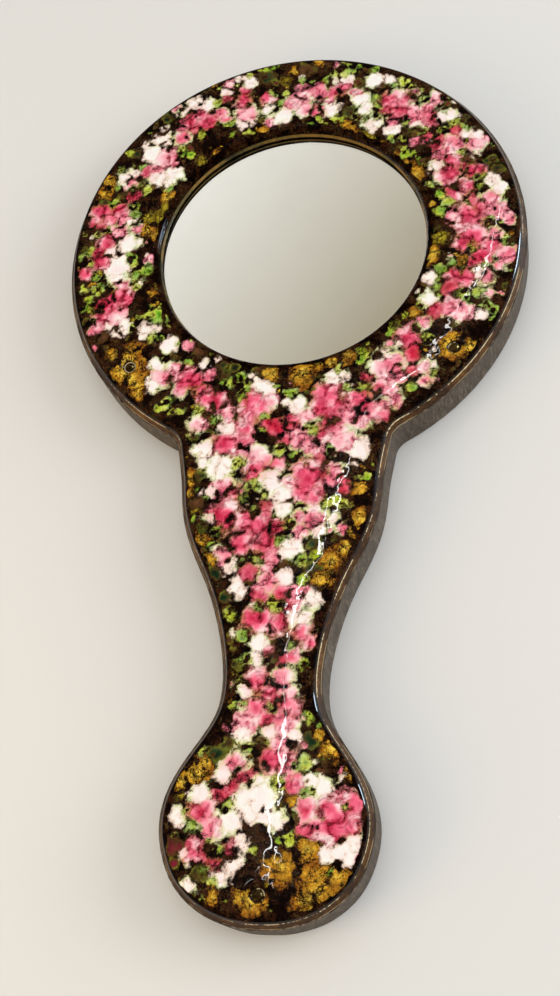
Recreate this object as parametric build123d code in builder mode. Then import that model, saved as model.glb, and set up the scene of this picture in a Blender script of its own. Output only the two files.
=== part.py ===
from build123d import *
import math
import os

os.makedirs("parts", exist_ok=True)

# Hand mirror: a pressed and enamelled copper front, a round mirror behind its
# opening, and a stained wooden back, held together by three domed pins.
# Frame: origin at the centre of the mirror on the flat back face, +Z out of
# the mirror's face, +Y towards the top of the ring, handle towards -Y.

# ---------------------------------------------------------------- outline
ring_r = 64.35          # ring radius at the plate's top edge
handle_end_y = -185.2   # lowest point of the round end, same edge
notch_r = 8.0           # inside corner where the handle leaves the ring
# the handle's side just below the notch, and how far it leans in there
side_x = 27.3
side_lean = math.radians(8.6)
side_dir = (-math.sin(side_lean), -math.cos(side_lean))
# half-width of the handle, from the ring down to the round end
handle_half_widths = [
    (-71.0, 25.8),
    (-80.3, 24.8),
    (-90.4, 21.8),
    (-100.4, 17.2),
    (-110.5, 13.6),
    (-120.5, 11.45),
    (-130.0, 11.0),
    (-135.6, 12.1),
    (-140.6, 14.6),
    (-150.6, 21.2),
    (-160.7, 24.7),
    (-170.7, 23.3),
    (-176.5, 20.3),
    (-180.3, 16.4),
    (-183.4, 10.8),
    (-184.8, 5.5),
]

# ---------------------------------------------------------------- heights
board_h = 11.0          # wooden back, bottom face to top face
sheet_t = 0.6           # copper sheet
skirt_h = 2.75          # plate's face above the board
enamel_t = 0.7          # glass coat on the face
counter_t = 0.2         # glass coat on the underside
face_z = board_h + skirt_h
crown_z = face_z + enamel_t

# ---------------------------------------------------------------- offsets
# all measured outward from the outline above
board_proud = 1.89      # the board stands a little proud of the skirt
board_round = 0.9       # softened bottom edge of the board
skirt_foot = 1.55       # foot of the flared skirt
skirt_head = 0.08       # its top, where it rolls over into the face
skirt_wall = 0.68       # the sheet measured level through the sloping skirt
enamel_low_z = 13.0     # where the coat ends on the outer skirt
enamel_foot = 0.60      # the coat's edge there, feathered on the copper
filler_inset = 0.75     # filler board's edge inside the outline

# ---------------------------------------------------------------- mirror
glass_r = 40.0          # standard 80 mm disc
glass_t = 1.1
silver_t = 0.1
packing_t = 1.5
pocket_r = 40.5
glass_top_z = 11.2      # the inner skirt's foot bears on the glass
opening_r = 38.4        # foot of the inner skirt
lining_r = 40.9         # clearance hole in the filler and the underside coat

# ---------------------------------------------------------------- pins
pin_xy = [(-44.4, -37.3), (46.1, -37.1), (-0.5, -179.4)]
pin_head_r = 1.45
pin_head_h = 0.95
pin_shank_r = 0.6
pin_tip_z = 3.6
pin_spot_r = 1.7        # bare copper left around each head

# ---------------------------------------------------------------- profile
# inside corner: a small circle that touches both the ring and the side
notch_cx = side_x - notch_r * side_dir[1]
notch_cy = -math.sqrt((ring_r + notch_r) ** 2 - notch_cx**2)
side_start = (side_x, notch_cy - notch_r * side_dir[0])
on_ring = (notch_cx * ring_r / (ring_r + notch_r), notch_cy * ring_r / (ring_r + notch_r))
half_way = (Vector(*on_ring) + Vector(*side_start)) / 2 - Vector(notch_cx, notch_cy)
notch_mid = Vector(notch_cx, notch_cy) + half_way.normalized() * notch_r

# the handle's side, from the notch to the tip of the round end
with BuildLine() as side:
    Spline(
        side_start,
        *[(w, y) for y, w in handle_half_widths],
        (0, handle_end_y),
        tangents=[side_dir, (-1, 0)],
    )
side_steps = 34


def outline_at(grow, height):
    """The plate's outline at a height, moved outward by grow."""
    run = side.line
    stations = []
    for i in range(1, side_steps):
        u = i / side_steps
        p, t = run @ u, run % u
        stations.append((p.X - t.Y * grow, p.Y + t.X * grow))
    k_ring = (ring_r + grow) / ring_r
    k_notch = (notch_r - grow) / notch_r
    centre = Vector(notch_cx, notch_cy)
    start = centre + (Vector(*side_start) - centre) * k_notch
    with BuildSketch(Plane.XY.offset(height)) as sk:
        with BuildLine():
            ThreePointArc((0, ring_r + grow), (ring_r + grow, 0), Vector(*on_ring) * k_ring)
            ThreePointArc(Vector(*on_ring) * k_ring, centre + (notch_mid - centre) * k_notch, start)
            Spline(start, *stations, (0, handle_end_y - grow), tangents=[side_dir, (-1, 0)])
            mirror(about=Plane.YZ)
        make_face()
    return sk.sketch


def ring_profile(points, arc=None):
    """Half-section in the XZ plane of a turned shape around the mirror's axis."""
    with BuildSketch(Plane.XZ) as sk:
        with BuildLine():
            if arc:
                start, centre, end = arc
                k = math.sqrt(0.5)
                r = end[1] - centre[1]
                mid = (centre[0] - r * k, centre[1] + r * k)
                Polyline(*points[0])
                ThreePointArc(start, mid, end)
                Polyline(*points[1])
            else:
                Polyline(*points, close=True)
        make_face()
    return sk.sketch


# the opening's turned surface in the copper, flared at the shoulder
copper_mouth = ring_profile(
    (
        [(0, face_z + 1), (0, board_h - 1), (opening_r, board_h - 1), (opening_r, glass_top_z), (39.0, 12.65)],
        [(40.1, face_z), (40.1, face_z + 1), (0, face_z + 1)],
    ),
    arc=((39.0, 12.65), (40.1, 12.65), (40.1, face_z)),
)
# the same surface with the glass coat on it
enamel_mouth = ring_profile(
    (
        [(0, crown_z + 1), (0, board_h - 1), (38.66, board_h - 1), (38.66, 12.2), (38.88, 13.05)],
        [(40.28, crown_z), (40.28, crown_z + 1), (0, crown_z + 1)],
    ),
    arc=((38.88, 13.05), (40.28, 13.05), (40.28, crown_z)),
)

# ---------------------------------------------------------------- back board
with BuildPart() as back_board:
    add(outline_at(board_proud, 0))
    extrude(amount=board_h)
    fillet(back_board.faces().sort_by(Axis.Z)[0].edges(), radius=board_round)
    # pocket for the mirror and its packing
    with BuildSketch(Plane.XY.offset(board_h)):
        Circle(pocket_r)
    extrude(amount=-(board_h - glass_top_z + glass_t + silver_t + packing_t), mode=Mode.SUBTRACT)
    # pilot holes
    with BuildSketch(Plane.XY.offset(board_h)):
        with Locations(*pin_xy):
            Circle(pin_shank_r + 0.02)
    extrude(amount=-(board_h - pin_tip_z + 0.4), mode=Mode.SUBTRACT)
back_board.part.label = "back_board"
export_step(back_board.part, "parts/back_board.step")

# ---------------------------------------------------------------- packing
with BuildPart() as packing_disc:
    with BuildSketch(Plane.XY.offset(glass_top_z - glass_t - silver_t - packing_t)):
        Circle(glass_r - 0.3)
    extrude(amount=packing_t)
packing_disc.part.label = "packing_disc"
export_step(packing_disc.part, "parts/packing_disc.step")

# ---------------------------------------------------------------- mirror
with BuildPart() as mirror_silvering:
    with BuildSketch(Plane.XY.offset(glass_top_z - glass_t - silver_t)):
        Circle(glass_r - 0.4)
    extrude(amount=silver_t)
mirror_silvering.part.label = "mirror_silvering"
export_step(mirror_silvering.part, "parts/mirror_silvering.step")

with BuildPart() as mirror_glass:
    with BuildSketch(Plane.XY.offset(glass_top_z - glass_t)):
        Circle(glass_r)
    extrude(amount=glass_t)
    chamfer(mirror_glass.edges().filter_by(GeomType.CIRCLE), length=0.15)
mirror_glass.part.label = "mirror_glass"
export_step(mirror_glass.part, "parts/mirror_glass.step")

# ---------------------------------------------------------------- filler
filler_top_z = face_z - sheet_t - counter_t
with BuildPart() as filler_board:
    add(outline_at(-filler_inset, board_h))
    extrude(amount=filler_top_z - board_h)
    with BuildSketch(Plane.XY.offset(board_h)):
        Circle(lining_r)
        with Locations(*pin_xy):
            Circle(pin_shank_r + 0.05)
    extrude(amount=filler_top_z - board_h, mode=Mode.SUBTRACT)
filler_board.part.label = "filler_board"
export_step(filler_board.part, "parts/filler_board.step")

# ---------------------------------------------------------------- underside coat
with BuildPart() as counter_enamel:
    add(outline_at(-filler_inset, filler_top_z))
    extrude(amount=counter_t)
    with BuildSketch(Plane.XY.offset(filler_top_z)):
        Circle(lining_r)
        with Locations(*pin_xy):
            Circle(pin_shank_r + 0.2)
    extrude(amount=counter_t, mode=Mode.SUBTRACT)
counter_enamel.part.label = "counter_enamel"
export_step(counter_enamel.part, "parts/counter_enamel.step")

# ---------------------------------------------------------------- front plate
# the pressed form before it is hollowed: face, flared skirt, rounded shoulder
with BuildPart() as plate_block:
    add(outline_at(skirt_foot, board_h))
    add(outline_at(skirt_head, face_z))
    loft(ruled=True)
    fillet(plate_block.faces().sort_by(Axis.Z)[-1].edges(), radius=0.9)
    add(copper_mouth)
    revolve(axis=Axis.Z, mode=Mode.SUBTRACT)

# the hollow behind it, leaving the skirt that turns down around the opening
with BuildPart() as plate_hollow:
    add(outline_at(skirt_foot - skirt_wall, board_h))
    add(outline_at(0, face_z - sheet_t))
    loft(ruled=True)
    with BuildSketch(Plane.XZ):
        with BuildLine():
            Polyline(
                (37.0, glass_top_z),
                (opening_r + 0.62, glass_top_z),
                (39.62, 12.6),
                (40.35, face_z - sheet_t),
                (40.35, face_z),
                (37.0, face_z),
                close=True,
            )
        make_face()
    revolve(axis=Axis.Z, mode=Mode.SUBTRACT)

with BuildPart() as front_plate:
    add(plate_block.part)
    add(plate_hollow.part, mode=Mode.SUBTRACT)
    # pin holes
    with BuildSketch(Plane.XY.offset(face_z)):
        with Locations(*pin_xy):
            Circle(pin_shank_r + 0.2)
    extrude(amount=-sheet_t, mode=Mode.SUBTRACT)
front_plate.part.label = "front_plate"
export_step(front_plate.part, "parts/front_plate.step")

# ---------------------------------------------------------------- front coat
with BuildPart() as front_enamel:
    add(outline_at(enamel_foot, enamel_low_z))
    add(outline_at(0, crown_z))
    loft(ruled=True)
    fillet(front_enamel.faces().sort_by(Axis.Z)[-1].edges(), radius=1.2)
    # the coat turns down into the opening
    with BuildSketch(Plane.XY.offset(12.2)):
        Circle(41.0)
    extrude(amount=enamel_low_z - 12.2 + 0.1)
    # the copper under it
    add(plate_block.part, mode=Mode.SUBTRACT)
    # bare spots around the pins
    with BuildSketch(Plane.XY.offset(12.0)):
        with Locations(*pin_xy):
            Circle(pin_spot_r)
    extrude(amount=3, mode=Mode.SUBTRACT)
    add(enamel_mouth)
    revolve(axis=Axis.Z, mode=Mode.SUBTRACT)
front_enamel.part.label = "front_enamel"
export_step(front_enamel.part, "parts/front_enamel.step")

# ---------------------------------------------------------------- pins
with BuildPart() as fixing_pins:
    with BuildSketch(Plane.XY.offset(pin_tip_z + 1.2)):
        with Locations(*pin_xy):
            Circle(pin_shank_r)
    extrude(amount=face_z - pin_tip_z - 1.2)
    # pointed tips
    with BuildSketch(Plane.XY.offset(pin_tip_z + 1.2)):
        with Locations(*pin_xy):
            Circle(pin_shank_r)
    extrude(amount=-1.2, taper=22)
    # domed heads
    cap_r = (pin_head_r**2 + pin_head_h**2) / (2 * pin_head_h)
    for x, y in pin_xy:
        with BuildSketch(Plane(origin=(x, y, face_z), x_dir=(1, 0, 0), z_dir=(0, -1, 0))):
            with BuildLine():
                Line((0, 0), (pin_head_r, 0))
                ThreePointArc(
                    (pin_head_r, 0),
                    (cap_r * math.sin(0.55), cap_r * math.cos(0.55) - cap_r + pin_head_h),
                    (0, pin_head_h),
                )
                Line((0, pin_head_h), (0, 0))
            make_face()
        revolve(axis=Axis((x, y, 0), (0, 0, 1)))
fixing_pins.part.label = "fixing_pins"
export_step(fixing_pins.part, "parts/fixing_pins.step")
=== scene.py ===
import math

import bpy
import numpy as np
from mathutils import Matrix, Vector
from mathutils.geometry import delaunay_2d_cdt


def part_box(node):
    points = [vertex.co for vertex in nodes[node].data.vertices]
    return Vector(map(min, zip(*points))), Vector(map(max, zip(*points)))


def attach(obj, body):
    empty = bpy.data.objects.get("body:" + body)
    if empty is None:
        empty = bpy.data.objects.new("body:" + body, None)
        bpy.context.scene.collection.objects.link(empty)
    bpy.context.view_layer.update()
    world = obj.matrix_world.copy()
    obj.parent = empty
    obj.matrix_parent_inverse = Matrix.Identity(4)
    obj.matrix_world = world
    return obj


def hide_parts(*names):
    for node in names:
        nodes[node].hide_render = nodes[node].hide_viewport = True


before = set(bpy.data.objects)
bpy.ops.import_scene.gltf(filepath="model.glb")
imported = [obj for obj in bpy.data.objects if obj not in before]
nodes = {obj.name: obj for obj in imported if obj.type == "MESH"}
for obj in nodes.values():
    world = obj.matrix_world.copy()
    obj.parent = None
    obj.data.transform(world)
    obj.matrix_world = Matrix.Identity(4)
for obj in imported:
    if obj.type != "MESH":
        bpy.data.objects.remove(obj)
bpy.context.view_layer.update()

MM = 0.001

# ------------------------------------------------------------------ outline
# The plate's outline, in millimetres, as the CAD draws it: a ring, a small
# inside corner, and the handle's side down to the round end.
RING_R = 64.35
NOTCH_R = 8.0
SIDE_X = 27.3
LEAN = math.radians(8.6)
SIDE_DIR = np.array([-math.sin(LEAN), -math.cos(LEAN)])
END_Y = -185.2
HALF_WIDTHS = [
    (-71.0, 25.8), (-80.3, 24.8), (-90.4, 21.8), (-100.4, 17.2), (-110.5, 13.6),
    (-120.5, 11.45), (-130.0, 11.0), (-135.6, 12.1), (-140.6, 14.6), (-150.6, 21.2), (-160.7, 24.7),
    (-170.7, 23.3), (-176.5, 20.3), (-180.3, 16.4), (-183.4, 10.8), (-184.8, 5.5),
]
PINS = np.array([(-44.4, -37.3), (46.1, -37.1), (-0.5, -179.4)])


def spline_through(pts, t0, t1, step):
    """C2 cubic through the points, chord-length parameter, unit end tangents."""
    p = np.asarray(pts, float)
    h = np.hypot(*np.diff(p, axis=0).T)
    n = len(p)
    a = np.zeros((n, n))
    b = np.zeros((n, 2))
    a[0, 0] = a[-1, -1] = 1.0
    b[0], b[-1] = t0, t1
    for i in range(1, n - 1):
        a[i, i - 1] = h[i]
        a[i, i] = 2 * (h[i - 1] + h[i])
        a[i, i + 1] = h[i - 1]
        b[i] = 3 * (h[i] * (p[i] - p[i - 1]) / h[i - 1] + h[i - 1] * (p[i + 1] - p[i]) / h[i])
    m = np.linalg.solve(a, b)
    out = []
    for i in range(n - 1):
        k = max(2, int(round(h[i] / step)))
        for u in np.arange(k) / k:
            out.append(
                (2 * u**3 - 3 * u**2 + 1) * p[i] + (u**3 - 2 * u**2 + u) * h[i] * m[i]
                + (-2 * u**3 + 3 * u**2) * p[i + 1] + (u**3 - u**2) * h[i] * m[i + 1]
            )
    out.append(p[-1])
    return np.array(out)


def arc_pts(c, r, a0, a1, step):
    k = max(3, int(round(abs(a1 - a0) * r / step)))
    a = np.linspace(a0, a1, k + 1)[:-1]
    return np.stack([c[0] + r * np.cos(a), c[1] + r * np.sin(a)], 1)


def base_outline(step):
    """Closed clockwise outline and its outward normals, evenly spaced."""
    ncx = SIDE_X - NOTCH_R * SIDE_DIR[1]
    ncy = -math.sqrt((RING_R + NOTCH_R) ** 2 - ncx**2)
    start = np.array([SIDE_X, ncy - NOTCH_R * SIDE_DIR[0]])
    on_ring = np.array([ncx, ncy]) * RING_R / (RING_R + NOTCH_R)
    fine = step / 6
    a_end = math.atan2(on_ring[1], on_ring[0])
    ring = arc_pts((0, 0), RING_R, math.pi / 2, a_end, fine)
    b0 = math.atan2(on_ring[1] - ncy, on_ring[0] - ncx)
    b1 = math.atan2(start[1] - ncy, start[0] - ncx) % (2 * math.pi)
    notch = arc_pts((ncx, ncy), NOTCH_R, b0 % (2 * math.pi), b1, fine)
    side = spline_through([start] + [(w, y) for y, w in HALF_WIDTHS] + [(0, END_Y)], SIDE_DIR, (-1, 0), fine)
    right = np.vstack([ring, notch, side])
    left = right[::-1][1:-1] * (-1, 1)
    full = np.vstack([right, left])
    loop = np.vstack([full, full[:1]])
    s = np.concatenate([[0], np.cumsum(np.hypot(*np.diff(loop, axis=0).T))])
    count = int(round(s[-1] / step))
    t = np.arange(count) * s[-1] / count
    pts = np.stack([np.interp(t, s, loop[:, 0]), np.interp(t, s, loop[:, 1])], 1)
    e = 0.05
    ahead = np.stack([np.interp((t + e) % s[-1], s, loop[:, i]) for i in (0, 1)], 1)
    behind = np.stack([np.interp((t - e) % s[-1], s, loop[:, i]) for i in (0, 1)], 1)
    tan = ahead - behind
    tan /= np.hypot(*tan.T)[:, None]
    return pts, np.stack([-tan[:, 1], tan[:, 0]], 1)


# ------------------------------------------------------------------ noise
def vnoise(x, y, seed):
    """Smooth lattice noise in 0..1."""
    xi, yi = np.floor(x).astype(np.int64), np.floor(y).astype(np.int64)
    fx, fy = x - xi, y - yi
    fx, fy = fx * fx * fx * (fx * (fx * 6 - 15) + 10), fy * fy * fy * (fy * (fy * 6 - 15) + 10)

    def h(a, b):
        v = (a * 374761393 + b * 668265263 + seed * 974634777) & 0x7FFFFFFF
        v = ((v ^ (v >> 13)) * 1274126177) & 0x7FFFFFFF
        return ((v ^ (v >> 16)) & 0xFFFF) / 65535.0

    return (h(xi, yi) * (1 - fx) + h(xi + 1, yi) * fx) * (1 - fy) + (h(xi, yi + 1) * (1 - fx) + h(xi + 1, yi + 1) * fx) * fy


def fbm(x, y, size, seed, octaves=3):
    v, amp, tot = 0.0, 1.0, 0.0
    for o in range(octaves):
        v = v + amp * vnoise(x / size * 2**o, y / size * 2**o, seed + 17 * o)
        tot += amp
        amp *= 0.5
    return v / tot


def sstep(a, b, x):
    t = np.clip((x - a) / (b - a), 0, 1)
    return t * t * (3 - 2 * t)


# ------------------------------------------------------------------ coat surface
# distance from an edge of the coat (mm) against how far the surface has rolled down
ROLL_D = np.array([-0.62, -0.55, -0.44, -0.31, -0.12, 0.12, 0.42, 0.85, 1.4, 2.1, 3.2, 4.8, 7.0, 11.0])
ROLL_Z = np.array([-1.64, -1.40, -1.17, -0.93, -0.70, -0.53, -0.39, -0.275, -0.19, -0.13, -0.075, -0.035, -0.01, 0.0])
MOUTH_D = np.array([-0.25, -0.16, -0.05, 0.08, 0.30, 0.62, 1.05, 1.6, 2.3, 3.4, 5.0, 8.0])
MOUTH_Z = np.array([-2.40, -1.95, -1.55, -1.20, -0.84, -0.54, -0.33, -0.19, -0.10, -0.045, -0.015, 0.0])
SPOT_D = np.array([0.0, 0.05, 0.15, 0.35, 0.7, 1.2, 1.9])
SPOT_Z = np.array([-0.84, -0.60, -0.40, -0.24, -0.11, -0.03, 0.0])
TOP_Z = 14.62
MOUTH_R = 38.91


def coat_height(x, y, d_out):
    r_in = np.hypot(x, y) - MOUTH_R
    z = TOP_Z + np.interp(d_out, ROLL_D, ROLL_Z) + np.interp(r_in, MOUTH_D, MOUTH_Z)
    for px, py in PINS:
        z = z + np.interp(np.hypot(x - px, y - py) - 1.7, SPOT_D, SPOT_Z)
    return z


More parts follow.
